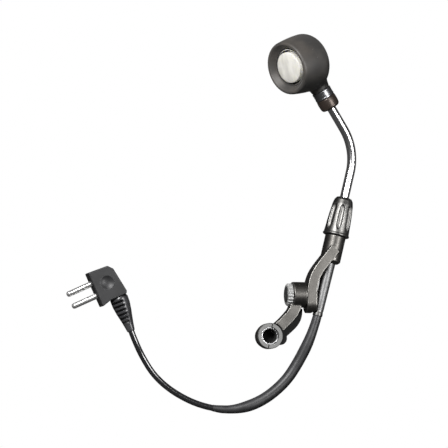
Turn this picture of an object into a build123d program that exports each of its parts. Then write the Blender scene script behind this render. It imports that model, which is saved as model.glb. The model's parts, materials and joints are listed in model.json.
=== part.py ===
from build123d import *
import os
from math import cos, radians, sin, tan

os.makedirs("parts", exist_ok=True)

# Examination lamp: a round lamp head on a bent tube, held by a lock nut in a cast bracket whose
# knuckle carries a ring clamp, with a two-pin plug on a short cord. Millimetres, +Z up. The lamp
# lies on a table at Z = 0, and the origin is the centre of the clamp ring's bore at its lower face.

# ---------------------------------------------------------------- driving dimensions
GAP = 0.05  # between pieces of one body that sit in each other
RUN = 0.07  # radial running clearance on a shaft

# Clamp ring
BORE_R = 4.7
BORE_TOP = 10.2
PAD_TOP = 1.1
RING_TOP = 13.0
RING_R = 8.4
LINER_R = 6.5
FLANGE_BOTTOM = 11.8
SPLIT_GAP = 0.6
SPLIT_TURN = -10.0
BACK_TOP = 4.9
BACK_R = 7.6

# Knuckle between the clamp link and the bracket, its axis along X
KNUCKLE_Y = 27.1
KNUCKLE_Z = 8.8
BARREL_R = 8.4
BARREL_X = (15.3, 23.85)
LUG_X = (24.2, 30.8)
KNOB_X = (11.4, 14.9)
KNOB_R = 7.4
PIVOT_R = 2.5

# Tube: the lower run lies level, the upper run climbs to the lamp head
TUBE_R = 3.0
TUBE_WALL = 0.8
TUBE_FOOT = Vector(32.3, 13.3, KNUCKLE_Z)
TUBE_LEAN = 13.4
TUBE_CORNER = 113.3
TUBE_BEND_R = 36.0
FERRULE_R = 3.25
SLEEVE_T = (3.5, 35.7)
SLEEVE_R = (3.2, 3.95)
LEAD_R = 1.2

# Places along the lower run of the tube, counted from its foot
BODY_T = (36.0, 54.0)
SPIGOT_END = 65.0
NUT_T = (54.2, 80.2)
COLLET_T = (39.3, 77.0)
BODY_R = 6.8
SPIGOT_R = 5.3
COLLET_R = 4.65
NUT_BORE_R = 5.45
FLUTES = 8

# Lamp head
HEAD_MIDDLE = Vector(18.6, 177.3, 20.0)
HEAD_HEADING = 200.6
HEAD_RISE = 28.0
HOOD_R = 19.0
HOOD_H = (-12.0, 13.5)
CAVITY_R = 12.5
CUP_R = 12.4
NECK_BEHIND = 4.2

# Places along the neck, counted from the head's own axis
COLLAR_S = (21.15, 26.75)
CAP_S = (26.9, 34.6)
NECK_R = 6.5
CORE_R = 4.6
CORE_START = 17.2
TUBE_TOP = 15.2

# Cord
CORD_R = 2.0
CORD_ROUTE = [
    (32.3, 13.3, 8.8),
    (28.7, 0.8, 8.4),
    (20.8, -16.1, 5.0),
    (11.6, -30.3, 3.8),
    (-5.0, -43.2, 3.7),
    (-24.5, -48.6, 3.2),
    (-44.5, -45.3, 2.2),
    (-62.2, -36.7, 2.1),
    (-74.8, -26.0, 2.1),
    (-82.7, -13.8, 3.0),
    (-88.0, -3.8, 5.9),
    (-90.7, 2.9, 6.3),
]
SLEEVE_BORE_R = CORD_R + GAP
SLEEVE_STEPS = [(0, 3, 3.65), (3, 4, 3.4), (4, 5, 2.7)]  # first run, last run, outer radius

# Plug
PLUG_CORNER = Vector(-120.0, 39.3, 0)
PLUG_ALONG = Vector(0.4148, -0.9099, 0)
PLUG_THICK = 12.6
PIN_R = 1.8
PIN_ROOT_R = 1.5
PIN_OUT = 17.2
PIN_IN = 6.0
PIN_TIP = 1.4
PIN_AT = (7.5, 15.9)
BOOT_BASE = 22.6
BOOT_DEPTH = 12.9
BOOT_SIDE = [(5.9, 0), (5.8, 5), (5.0, 10), (3.9, 15), (3.2, 18.5)]
BOOT_END_R = 2.6
BOOT_SLOTS_END = 17.5
BOOT_RINGS = 5


# ---------------------------------------------------------------- frames
def heading(angle, rise=0.0):
    """The unit vector with that heading from +X and that rise above the table, in degrees."""
    flat = cos(radians(rise))
    return Vector(flat * cos(radians(angle)), flat * sin(radians(angle)), sin(radians(rise)))


def section(frame):
    """The half-section plane of a turned piece: radius across, distance along the axis up."""
    return Plane(origin=frame.origin, x_dir=frame.x_dir, z_dir=-frame.y_dir)


UP = Vector(0, 0, 1)
TUBE_WAY = heading(90 - TUBE_LEAN)
TUBE = Plane(origin=TUBE_FOOT, x_dir=UP, z_dir=TUBE_WAY)
CORNER = TUBE_FOOT + TUBE_WAY * TUBE_CORNER
HEAD_WAY = heading(HEAD_HEADING, HEAD_RISE)
HEAD = Plane(origin=HEAD_MIDDLE, x_dir=UP.cross(HEAD_WAY), z_dir=HEAD_WAY)
NECK_START = HEAD_MIDDLE - HEAD_WAY * NECK_BEHIND
NECK_WAY = (CORNER - NECK_START).normalized()
NECK = Plane(origin=NECK_START, x_dir=UP.cross(NECK_WAY), z_dir=NECK_WAY)
KNUCKLE = Plane(origin=(0, KNUCKLE_Y, KNUCKLE_Z), x_dir=(0, 1, 0), z_dir=(1, 0, 0))
RING = Plane.XY
PLUG = Plane(origin=PLUG_CORNER, x_dir=PLUG_ALONG, z_dir=UP)
PLUG_BACK = PLUG.y_dir
BOOT_START = PLUG_CORNER + PLUG_ALONG * BOOT_BASE + PLUG_BACK * BOOT_DEPTH + UP * PLUG_THICK / 2
BOOT = Plane(origin=BOOT_START, x_dir=UP, z_dir=Vector(*CORD_ROUTE[-1]) - BOOT_START)


def turn(frame, points, mode=Mode.ADD):
    """Turn a closed outline of (radius, distance) points about the frame's axis."""
    with BuildSketch(section(frame)) as outline:
        with BuildLine():
            Polyline(*points, close=True)
        make_face()
    revolve(outline.sketch, axis=Axis(frame.origin, frame.z_dir), mode=mode)


def dome_radius(half, rise):
    """The radius of a dome that is half wide on each side of its axis and rises by rise."""
    return (half**2 + rise**2) / (2 * rise)


def ring(frame, inner, outer, low, high, mode=Mode.ADD):
    """A plain ring or disc about the frame's axis, from one distance to another."""
    turn(frame, [(inner, low), (outer, low), (outer, high), (inner, high)], mode)


def finish(name, piece):
    """Label a finished piece and write its own file."""
    piece.part.label = name
    export_step(piece.part, f"parts/{name}.step")


# ---------------------------------------------------------------- lamp head
CAVITY_H = (-8.2, 5.9)
CUP_H = (-8.1, 5.8)
CUP_WALL = 1.1
LIP_R = 11.45
BEZEL_H = (7.65, 9.6)
BEZEL_R = 12.5
FLARE_R = 8.6

# The rubber hood: rounded back, slightly tapered side, rolled lip and a conical shade
with BuildPart() as hood:
    with BuildSketch(section(HEAD)) as hood_side:
        with BuildLine():
            Line((0, HOOD_H[0]), (9.9, HOOD_H[0]))
            RadiusArc((9.9, HOOD_H[0]), (HOOD_R, -4.6), -7.4)
            ThreePointArc((HOOD_R, -4.6), (18.6, 3.8), (17.5, 12.3))
            ThreePointArc((17.5, 12.3), (17.0, 13.2), (16.2, HOOD_H[1]))
            Line((16.2, HOOD_H[1]), (0, HOOD_H[1]))
            Line((0, HOOD_H[1]), (0, HOOD_H[0]))
        make_face()
    revolve(hood_side.sketch, axis=Axis(HEAD.origin, HEAD.z_dir))
    # The neck flares out of the side of the hood
    with BuildSketch(section(NECK)) as neck_side:
        with BuildLine():
            Line((0, 9.0), (0, COLLAR_S[0] - GAP))
            Line((0, COLLAR_S[0] - GAP), (NECK_R - 0.3, COLLAR_S[0] - GAP))
            ThreePointArc((NECK_R - 0.3, COLLAR_S[0] - GAP), (6.8, 18.0), (FLARE_R, 13.6))
            Line((FLARE_R, 13.6), (FLARE_R, 9.0))
            Line((FLARE_R, 9.0), (0, 9.0))
        make_face()
    revolve(neck_side.sketch, axis=Axis(NECK.origin, NECK.z_dir))
    # Lamp cavity, mouth and conical shade
    turn(
        HEAD,
        [
            (0, CAVITY_H[0]),
            (CAVITY_R, CAVITY_H[0]),
            (CAVITY_R, CAVITY_H[1]),
            (LIP_R, CAVITY_H[1]),
            (LIP_R, BEZEL_H[0] - GAP),
            (BEZEL_R + 0.1, BEZEL_H[0] - GAP),
            (BEZEL_R + 0.1, BEZEL_H[1]),
            (15.2, 13.0),
            (15.4, HOOD_H[1] + 1),
            (0, HOOD_H[1] + 1),
        ],
        Mode.SUBTRACT,
    )
    ring(NECK, 0, CORE_R + GAP, 8.0, COLLAR_S[0] + 1, Mode.SUBTRACT)
finish("hood", hood)

# Metal cup that holds everything in the hood, with a hole for the lead
with BuildPart() as lamp_cup:
    ring(HEAD, 0, CUP_R, *CUP_H)
    ring(HEAD, 0, CUP_R - CUP_WALL, CUP_H[0] + 1.4, CUP_H[1] + 1, Mode.SUBTRACT)
    ring(NECK, 0, 2.2, 8.0, 16.0, Mode.SUBTRACT)
finish("lamp_cup", lamp_cup)

PLATE_H = (-6.65, -5.0)
BOARD_H = (-4.95, -3.9)
SCREW_CIRCLE = 6.3
SCREW_R = 0.8

# Heat plate and lamp board, with three screw holes through both
with BuildPart(HEAD) as heat_plate:
    ring(HEAD, 0, CUP_R - CUP_WALL - GAP, *PLATE_H)
    with PolarLocations(SCREW_CIRCLE, 3):
        Cylinder(SCREW_R + GAP, 40, mode=Mode.SUBTRACT)
finish("heat_plate", heat_plate)

with BuildPart(HEAD) as lamp_board:
    ring(HEAD, 0, 8.0, *BOARD_H)
    with PolarLocations(SCREW_CIRCLE, 3):
        Cylinder(SCREW_R + GAP, 40, mode=Mode.SUBTRACT)
finish("lamp_board", lamp_board)

with BuildPart(HEAD) as board_screws:
    with PolarLocations(SCREW_CIRCLE, 3):
        with Locations((0, 0, (PLATE_H[0] + BOARD_H[1]) / 2)):
            Cylinder(SCREW_R, BOARD_H[1] - PLATE_H[0])
        with Locations((0, 0, BOARD_H[1] + 0.4)):
            Cylinder(1.35, 0.8)
finish("board_screws", board_screws)

# Light source: a round base with a clear dome
with BuildPart() as light_source:
    turn(
        HEAD,
        [
            (0, -3.85),
            (2.7, -3.85),
            (2.7, -3.1),
            (2.2, -3.1),
            (2.0, -2.0),
            (1.3, -1.3),
            (0, -1.0),
        ],
    )
finish("light_source", light_source)

# Reflector: a thin bowl with a rim under the gasket
with BuildPart() as reflector:
    with BuildSketch(section(HEAD)) as bowl:
        with BuildLine():
            ThreePointArc((3.2, -3.2), (7.6, -0.4), (10.2, 4.5))
            Line((10.2, 4.5), (11.1, 4.5))
            Line((11.1, 4.5), (11.1, 3.9))
            Line((11.1, 3.9), (10.7, 3.9))
            ThreePointArc((10.7, 3.9), (8.1, -0.9), (3.2, -3.8))
            Line((3.2, -3.8), (3.2, -3.2))
        make_face()
    revolve(bowl.sketch, axis=Axis(HEAD.origin, HEAD.z_dir))
finish("reflector", reflector)

with BuildPart() as lens_gasket:
    ring(HEAD, 9.9, 11.2, 4.55, 4.95)
finish("lens_gasket", lens_gasket)

# Frosted lens: a drum with a low dome, standing out of its ring
LENS_R = 10.2
LENS_SHOULDER = 10.9
LENS_RISE = 1.3
with BuildPart() as lens:
    with BuildSketch(section(HEAD)) as lens_side:
        with BuildLine():
            Line((0, 5.0), (11.2, 5.0))
            Line((11.2, 5.0), (11.2, 6.4))
            Line((11.2, 6.4), (LENS_R, 6.4))
            Line((LENS_R, 6.4), (LENS_R, LENS_SHOULDER))
            RadiusArc(
                (LENS_R, LENS_SHOULDER),
                (0, LENS_SHOULDER + LENS_RISE),
                -dome_radius(LENS_R, LENS_RISE),
            )
            Line((0, LENS_SHOULDER + LENS_RISE), (0, 5.0))
        make_face()
    revolve(lens_side.sketch, axis=Axis(HEAD.origin, HEAD.z_dir))
finish("lens", lens)

with BuildPart() as lens_ring:
    turn(
        HEAD,
        [
            (11.3, BEZEL_H[0]),
            (BEZEL_R, BEZEL_H[0]),
            (BEZEL_R, BEZEL_H[1] - 0.2),
            (BEZEL_R - 0.4, BEZEL_H[1]),
            (11.5, BEZEL_H[1] - 0.5),
            (11.3, BEZEL_H[1] - 0.8),
        ],
    )
finish("lens_ring", lens_ring)

# ---------------------------------------------------------------- neck swivel
# Stem in the rubber neck: the tube's end turns in it
with BuildPart() as neck_core:
    ring(NECK, TUBE_R + RUN, CORE_R, CORE_START, COLLAR_S[1] - GAP)
finish("neck_core", neck_core)

with BuildPart() as neck_collar:
    turn(
        NECK,
        [
            (CORE_R + GAP, COLLAR_S[0]),
            (NECK_R - 0.3, COLLAR_S[0]),
            (NECK_R, COLLAR_S[0] + 0.3),
            (NECK_R, COLLAR_S[1] - 0.3),
            (NECK_R - 0.3, COLLAR_S[1]),
            (CORE_R + GAP, COLLAR_S[1]),
        ],
    )
finish("neck_collar", neck_collar)

# Clip that keeps the tube's end in the stem
with BuildPart(NECK) as pivot_clip:
    ring(NECK, TUBE_R + GAP, 4.3, CORE_START - 0.9, CORE_START - 0.2)
    with Locations((3.5, 0, CORE_START - 0.5)):
        Box(3.0, 2.4, 2.0, mode=Mode.SUBTRACT)
finish("pivot_clip", pivot_clip)

# Rounded cap on the tube, with a friction washer in its mouth
with BuildPart() as end_cap:
    with BuildSketch(section(NECK)) as cap_side:
        with BuildLine():
            Line((TUBE_R + GAP, CAP_S[0] + 1.1), (4.8, CAP_S[0] + 1.1))
            Line((4.8, CAP_S[0] + 1.1), (4.8, CAP_S[0]))
            Line((4.8, CAP_S[0]), (NECK_R, CAP_S[0]))
            ThreePointArc((NECK_R, CAP_S[0]), (6.7, CAP_S[0] + 2.6), (6.4, CAP_S[1] - 1.0))
            ThreePointArc((6.4, CAP_S[1] - 1.0), (6.1, CAP_S[1] - 0.3), (5.3, CAP_S[1]))
            Line((5.3, CAP_S[1]), (TUBE_R + GAP, CAP_S[1]))
            Line((TUBE_R + GAP, CAP_S[1]), (TUBE_R + GAP, CAP_S[0] + 1.1))
        make_face()
    revolve(cap_side.sketch, axis=Axis(NECK.origin, NECK.z_dir))
finish("end_cap", end_cap)

with BuildPart() as swivel_washer:
    ring(NECK, TUBE_R + GAP, 4.6, CAP_S[0] + 0.1, CAP_S[0] + 1.0)
finish("swivel_washer", swivel_washer)

# ---------------------------------------------------------------- tube
NECK_END = NECK_START + NECK_WAY * TUBE_TOP

with BuildPart() as tube:
    with BuildLine():
        tube_run = FilletPolyline(
            TUBE_FOOT + TUBE_WAY * 1.2, CORNER, NECK_END, radius=TUBE_BEND_R
        )
    with BuildSketch(Plane(origin=tube_run @ 0, z_dir=tube_run % 0)):
        Circle(TUBE_R)
        Circle(TUBE_R - TUBE_WALL, mode=Mode.SUBTRACT)
    sweep()
finish("tube", tube)

# Two-core lead from the cord's end to the lamp cup
with BuildPart() as lead_core:
    with BuildLine():
        lead_run = FilletPolyline(
            TUBE_FOOT, CORNER, NECK_START + NECK_WAY * 12.0, radius=TUBE_BEND_R
        )
    with BuildSketch(Plane(origin=lead_run @ 0, z_dir=lead_run % 0)):
        Circle(LEAD_R)
    sweep()
finish("lead_core", lead_core)

# Ferrule over the tube's foot; the sleeve and the cord butt on its end face
with BuildPart() as tube_ferrule:
    turn(
        TUBE,
        [
            (LEAD_R + GAP, 0),
            (FERRULE_R - 0.25, 0),
            (FERRULE_R, 0.4),
            (FERRULE_R, 2.2),
            (TUBE_R + GAP + 0.05, 3.4),
            (TUBE_R + GAP, 3.4),
            (TUBE_R + GAP, 1.1),
            (LEAD_R + GAP, 1.1),
        ],
    )
finish("tube_ferrule", tube_ferrule)

# Satin sleeve over the tube's lower part, wider towards the bracket body
with BuildPart() as tube_sleeve:
    turn(
        TUBE,
        [
            (TUBE_R + GAP, SLEEVE_T[0]),
            (SLEEVE_R[0], SLEEVE_T[0]),
            (SLEEVE_R[1], SLEEVE_T[1]),
            (TUBE_R + GAP, SLEEVE_T[1]),
        ],
    )
finish("tube_sleeve", tube_sleeve)

# ---------------------------------------------------------------- lock nut and collet
# Split collet that grips the tube; it slides on the tube and the bracket turns on it
COLLET_CONE = 70.0
with BuildPart(TUBE) as collet:
    turn(
        TUBE,
        [
            (TUBE_R + RUN, COLLET_T[0]),
            (COLLET_R, COLLET_T[0]),
            (COLLET_R, COLLET_CONE),
            (3.9, COLLET_T[1]),
            (TUBE_R + RUN, COLLET_T[1]),
        ],
    )
    with PolarLocations(COLLET_R, 4):
        with Locations((0, 0, COLLET_T[1] - 9)):
            Box(4.0, 0.8, 19.0, mode=Mode.SUBTRACT)
finish("collet", collet)

with BuildPart() as thrust_ring:
    ring(TUBE, COLLET_R + 0.2, NUT_BORE_R - GAP, SPIGOT_END + 0.3, SPIGOT_END + 1.5)
finish("thrust_ring", thrust_ring)

FLUTE_R = 2.3
FLUTE_T = (59.5, 70.5)
FLUTE_OUT = (9.45, 8.75)  # axis of a flute from the nut's axis, at its low and high end

with BuildPart(TUBE) as lock_nut:
    with BuildSketch(section(TUBE)) as nut_side:
        with BuildLine():
            Line((NUT_BORE_R, NUT_T[0]), (8.3, NUT_T[0]))
            Line((8.3, NUT_T[0]), (8.75, NUT_T[0] + 0.5))
            Line((8.75, NUT_T[0] + 0.5), (8.5, NUT_T[0] + 2.2))
            Line((8.5, NUT_T[0] + 2.2), (8.15, NUT_T[0] + 3.6))
            ThreePointArc((8.15, NUT_T[0] + 3.6), (7.75, 67.5), (6.5, 77.2))
            ThreePointArc((6.5, 77.2), (5.7, 79.3), (4.2, NUT_T[1]))
            Line((4.2, NUT_T[1]), (TUBE_R + 0.4, NUT_T[1]))
            Line((TUBE_R + 0.4, NUT_T[1]), (TUBE_R + 0.4, 77.5))
            Line((TUBE_R + 0.4, 77.5), (4.1, 77.5))
            Line((4.1, 77.5), (COLLET_R + 0.2, COLLET_CONE))
            Line((COLLET_R + 0.2, COLLET_CONE), (COLLET_R + 0.2, SPIGOT_END + 1.6))
            Line((COLLET_R + 0.2, SPIGOT_END + 1.6), (NUT_BORE_R, SPIGOT_END + 1.6))
            Line((NUT_BORE_R, SPIGOT_END + 1.6), (NUT_BORE_R, NUT_T[0]))
        make_face()
    revolve(nut_side.sketch, axis=Axis(TUBE.origin, TUBE.z_dir))
    # Long oval flutes follow the nut's taper
    for place in PolarLocations(1, FLUTES, start_angle=-10):
        spot = Plane(TUBE.location * place)
        low = spot.from_local_coords((FLUTE_OUT[0] - 1, 0, FLUTE_T[0]))
        high = spot.from_local_coords((FLUTE_OUT[1] - 1, 0, FLUTE_T[1]))
        flute = Plane(origin=low, z_dir=high - low)
        turn(
            flute,
            [(0, 0), (FLUTE_R, 0), (FLUTE_R, (high - low).length), (0, (high - low).length)],
            Mode.SUBTRACT,
        )
finish("lock_nut", lock_nut)

# ---------------------------------------------------------------- bracket
STRAP_Z = (2.6, 15.6)
STRAP_WIDTH = 6.6
LUG_R = 6.8
BODY_EDGE = 1.4

with BuildPart() as bracket:
    turn(
        TUBE,
        [
            (0, BODY_T[0]),
            (BODY_R - BODY_EDGE, BODY_T[0]),
            (BODY_R, BODY_T[0] + BODY_EDGE),
            (BODY_R, BODY_T[1]),
            (0, BODY_T[1]),
        ],
    )
    ring(TUBE, 0, SPIGOT_R, BODY_T[1] - 1, SPIGOT_END)
    # Curved strap from the body down to the lug
    with BuildSketch(Plane.XY.offset(STRAP_Z[0])) as strap_plan:
        with BuildLine() as strap_line:
            Spline(
                (43.4, 57.6),
                (36.0, 48.5),
                (30.2, 40.0),
                (27.65, 30.0),
                (27.65, 24.0),
                tangents=((-0.66, -0.75), (0, -1)),
            )
        trace(line_width=STRAP_WIDTH)
    extrude(strap_plan.sketch, amount=STRAP_Z[1] - STRAP_Z[0])
    # Lug: a long rounded eye beside the knuckle barrel
    with BuildSketch(Plane(origin=(LUG_X[0], 0, 0), x_dir=(0, 1, 0), z_dir=(1, 0, 0))) as eye:
        with Locations((KNUCKLE_Y, KNUCKLE_Z)):
            Circle(LUG_R)
        with Locations((15.2 + LUG_R, KNUCKLE_Z)):
            Circle(LUG_R)
        make_hull()
    extrude(eye.sketch, amount=LUG_X[1] - LUG_X[0])
    # Bores: the sleeve's and the tube's free way, the collet's seat and the pivot screw's hole
    ring(TUBE, 0, SLEEVE_R[1] + 0.55, -20, BODY_T[0], Mode.SUBTRACT)
    ring(TUBE, 0, TUBE_R + 0.6, BODY_T[0] - 1, BODY_T[1], Mode.SUBTRACT)
    ring(TUBE, 0, COLLET_R + RUN, COLLET_T[0] - 0.2, SPIGOT_END + 1, Mode.SUBTRACT)
    ring(KNUCKLE, 0, PIVOT_R + RUN, 0, 40, Mode.SUBTRACT)
finish("bracket", bracket)

# ---------------------------------------------------------------- knuckle
with BuildPart() as friction_washer:
    ring(KNUCKLE, PIVOT_R + 0.2, 7.2, BARREL_X[1] + 0.05, LUG_X[0] - 0.05)
finish("friction_washer", friction_washer)

with BuildPart() as pivot_screw:
    turn(
        KNUCKLE,
        [
            (0, KNOB_X[0] + 0.6),
            (PIVOT_R, KNOB_X[0] + 0.6),
            (PIVOT_R, LUG_X[1] - 0.7),
            (PIVOT_R - 0.5, LUG_X[1] - 0.2),
            (0, LUG_X[1] - 0.2),
        ],
    )
finish("pivot_screw", pivot_screw)

with BuildPart() as knob_washer:
    ring(KNUCKLE, PIVOT_R + GAP, 5.0, KNOB_X[1] + 0.05, BARREL_X[0] - 0.1)
finish("knob_washer", knob_washer)

KNOB_RIBS = 20
with BuildPart(KNUCKLE) as knob:
    turn(
        KNUCKLE,
        [
            (PIVOT_R + GAP, KNOB_X[0] + 0.6),
            (5.3, KNOB_X[0] + 0.6),
            (5.3, KNOB_X[0]),
            (KNOB_R - 0.8, KNOB_X[0]),
            (KNOB_R, KNOB_X[0] + 0.8),
            (KNOB_R, KNOB_X[1]),
            (PIVOT_R + GAP, KNOB_X[1]),
        ],
    )
    with PolarLocations(KNOB_R + 0.35, KNOB_RIBS):
        with Locations((0, 0, KNOB_X[0] + 1)):
            Cylinder(0.8, 6.0, mode=Mode.SUBTRACT)
finish("knob", knob)

with BuildPart() as knob_cap:
    turn(
        KNUCKLE,
        [
            (0, KNOB_X[0] + 0.55),
            (5.2, KNOB_X[0] + 0.55),
            (5.2, KNOB_X[0] - 0.1),
            (4.4, KNOB_X[0] - 0.5),
            (0, KNOB_X[0] - 0.6),
        ],
    )
finish("knob_cap", knob_cap)

# ---------------------------------------------------------------- clamp link
ARM_TOP = 13.8
ARM_WIDTH = 7.0

# Upper half of the link: knuckle barrel, curved arm and ring housing
with BuildPart() as link_arm:
    with BuildSketch(Plane.XY.offset(BACK_TOP + 0.1)) as arm_plan:
        with BuildLine():
            Spline(
                (17.0, 21.6),
                (16.2, 17.4),
                (12.8, 12.6),
                (8.2, 7.9),
                (5.0, 5.0),
                tangents=((0, -1), (-0.72, -0.69)),
            )
        trace(line_width=ARM_WIDTH)
    extrude(arm_plan.sketch, amount=ARM_TOP - BACK_TOP - 0.1)
    ring(RING, 0, RING_R, BACK_TOP + 0.1, FLANGE_BOTTOM - GAP)
    ring(RING, 0, RING_R + 0.3, FLANGE_BOTTOM - GAP, ARM_TOP + 1, Mode.SUBTRACT)
    ring(KNUCKLE, 0, BARREL_R, *BARREL_X)
    ring(RING, 0, LINER_R + GAP, 0, RING_TOP, Mode.SUBTRACT)
    ring(KNUCKLE, 0, PIVOT_R + RUN, 0, 40, Mode.SUBTRACT)
    ring(KNUCKLE, 0, KNOB_R + 0.4, KNOB_X[0] - 2, BARREL_X[0], Mode.SUBTRACT)
    SCREWS_XY = [(12.4, 9.4), (16.9, 15.2)]
    with Locations(*[(x, y, BACK_TOP) for x, y in SCREWS_XY]):
        Cylinder(1.2 + GAP, 9.0, mode=Mode.SUBTRACT)
finish("link_arm", link_arm)

# Lower half of the link: a dark plate that reaches out past the arm on the right
with BuildPart() as link_back:
    with BuildSketch(Plane.XY) as back_plan:
        Circle(BACK_R)
        with Locations((8.7, -1.2)):
            Circle(4.3)
        with BuildLine():
            Spline(
                (18.6, 18.4),
                (17.6, 12.2),
                (12.2, 6.0),
                (7.0, 1.5),
                tangents=((0, -1), (-0.75, -0.66)),
            )
        trace(line_width=9.6)
    extrude(back_plan.sketch, amount=BACK_TOP)
    ring(RING, 0, LINER_R + GAP, -1, RING_TOP, Mode.SUBTRACT)
    with Locations(*[(x, y, 0) for x, y in SCREWS_XY]):
        Cylinder(1.2 + GAP, 20.0, mode=Mode.SUBTRACT)
        Cylinder(2.1, 3.6, mode=Mode.SUBTRACT)
finish("link_back", link_back)

with BuildPart() as link_screws:
    with Locations(*[(x, y, 0) for x, y in SCREWS_XY]):
        with Locations((0, 0, 1.1)):
            Cylinder(2.0, 1.3)
        with Locations((0, 0, 5.0)):
            Cylinder(1.2, 7.0)
finish("link_screws", link_screws)

# Two half liners in the ring, parted along a nearly lengthwise line
SPLIT = Plane.XY.rotated((0, 0, SPLIT_TURN))
for side, name in ((-1, "clamp_liner_left"), (1, "clamp_liner_right")):
    with BuildPart(SPLIT) as clamp_liner:
        turn(
            RING,
            [
                (BORE_R, PAD_TOP + GAP),
                (LINER_R, PAD_TOP + GAP),
                (LINER_R, FLANGE_BOTTOM),
                (RING_R, FLANGE_BOTTOM),
                (RING_R, RING_TOP - 0.4),
                (RING_R - 0.4, RING_TOP),
                (5.75, RING_TOP),
                (5.65, BORE_TOP),
                (BORE_R, BORE_TOP),
            ],
        )
        with Locations((-side * (20 - SPLIT_GAP / 2), 0, 0)):
            Box(40, 40, 40, mode=Mode.SUBTRACT)
    finish(name, clamp_liner)

# Rubber pad that closes the ring's lower end
with BuildPart() as bore_pad:
    ring(RING, 0, LINER_R, 0, PAD_TOP)
finish("bore_pad", bore_pad)

# Toothed ring that sits on the liners' inner step
GRIP_R = (5.15, 5.6)
GRIP_TEETH = 18
with BuildPart() as grip_ring:
    ring(RING, *GRIP_R, BORE_TOP + GAP, BORE_TOP + 1.2)
    with PolarLocations(GRIP_R[0] - GAP, GRIP_TEETH):
        with Locations((0, 0, BORE_TOP + 0.6)):
            Box(0.5, 0.7, 3.0, mode=Mode.SUBTRACT)
finish("grip_ring", grip_ring)

# ---------------------------------------------------------------- cord
route = [Vector(*point) for point in CORD_ROUTE]
runs = [b - a for a, b in zip(route, route[1:])]
corner_radii = [
    0.45 * min(a.length, b.length) / tan(radians(a.get_angle(b) / 2))
    for a, b in zip(runs, runs[1:])
]
print("cord radii", [round(radius, 1) for radius in corner_radii])

with BuildPart() as cord:
    with BuildLine():
        cord_run = FilletPolyline(*route, radius=corner_radii)
    with BuildSketch(Plane(origin=cord_run @ 0, z_dir=cord_run % 0)):
        Circle(CORD_R)
    sweep()
cord_section = 3.14159 * CORD_R**2
print("cord length", round(cord_run.length, 1), "from volume", round(cord.part.volume / cord_section, 1))
finish("cord", cord)

# Sleeve over the cord's first part; it thins in steps towards its end
with BuildPart() as cord_sleeve:
    for first, last, outer in SLEEVE_STEPS:
        begin = route[0] if first == 0 else (route[first] + route[first + 1]) * 0.5
        end = (route[last] + route[last + 1]) * 0.5
        inside = range(max(first, 0) + 1, last + 1)
        with BuildLine() as span:
            span_run = FilletPolyline(
                begin, *[route[i] for i in inside], end, radius=[corner_radii[i - 1] for i in inside]
            )
        with BuildSketch(Plane(origin=span_run @ 0, z_dir=span_run % 0)):
            Circle(outer)
            Circle(SLEEVE_BORE_R, mode=Mode.SUBTRACT)
        sweep()
finish("cord_sleeve", cord_sleeve)

# ---------------------------------------------------------------- plug
PLUG_SIDE = [(0, 0), (0.9, 13.6), (4.1, 16.4), (20.6, 18.7), (22.2, 17.8), (22.2, 6.0), (23.8, 0)]
FACE_ALONG = (2.4, 21.6)
FACE_Z = (1.9, 10.7)
FACE_DEEP = 1.4

# Right-angle body: a low block, the pins on its front and the cord at its end
with BuildPart(PLUG) as plug_body:
    with BuildSketch(PLUG) as plug_plan:
        with BuildLine():
            Polyline(*PLUG_SIDE, close=True)
        make_face()
    extrude(plug_plan.sketch, amount=PLUG_THICK)
    fillet(plug_body.edges(), 0.7)
    # Seat of the front insert, and holes for the pins
    with Locations(((FACE_ALONG[0] + FACE_ALONG[1]) / 2, 0, PLUG_THICK / 2)):
        Box(
            FACE_ALONG[1] - FACE_ALONG[0] + 2 * GAP,
            2 * (FACE_DEEP + GAP),
            FACE_Z[1] - FACE_Z[0] + 2 * GAP,
            mode=Mode.SUBTRACT,
        )
    with Locations(*[Location((x, 0, PLUG_THICK / 2), (90, 0, 0)) for x in PIN_AT]):
        Cylinder(PIN_ROOT_R + GAP, 2 * PIN_IN, mode=Mode.SUBTRACT)
    # Thumb dish in the wide side
    with Locations((10.7, 9.0, PLUG_THICK + 8.25)):
        Sphere(9.35, mode=Mode.SUBTRACT)
finish("plug_body", plug_body)

with BuildPart(PLUG) as plug_face:
    with Locations(((FACE_ALONG[0] + FACE_ALONG[1]) / 2, FACE_DEEP / 2, PLUG_THICK / 2)):
        Box(FACE_ALONG[1] - FACE_ALONG[0], FACE_DEEP, FACE_Z[1] - FACE_Z[0])
    with Locations(*[Location((x, 0, PLUG_THICK / 2), (90, 0, 0)) for x in PIN_AT]):
        Cylinder(PIN_ROOT_R + GAP, 2 * PIN_IN, mode=Mode.SUBTRACT)
finish("plug_face", plug_face)

# Round pins with domed tips
for number, along in enumerate(PIN_AT, 1):
    PIN = Plane(
        origin=PLUG.from_local_coords((along, 0, PLUG_THICK / 2)), x_dir=UP, z_dir=-PLUG_BACK
    )
    with BuildPart() as plug_pin:
        ring(PIN, 0, PIN_ROOT_R, 0.2 - PIN_IN, 0.5)
        with BuildSketch(section(PIN)) as pin_side:
            with BuildLine():
                Line((0, 0), (PIN_R, 0))
                Line((PIN_R, 0), (PIN_R, PIN_OUT - PIN_TIP))
                RadiusArc(
                    (PIN_R, PIN_OUT - PIN_TIP), (0, PIN_OUT), -dome_radius(PIN_R, PIN_TIP)
                )
                Line((0, PIN_OUT), (0, 0))
            make_face()
        revolve(pin_side.sketch, axis=Axis(PIN.origin, PIN.z_dir))
    finish(f"plug_pin_{number}", plug_pin)

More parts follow.
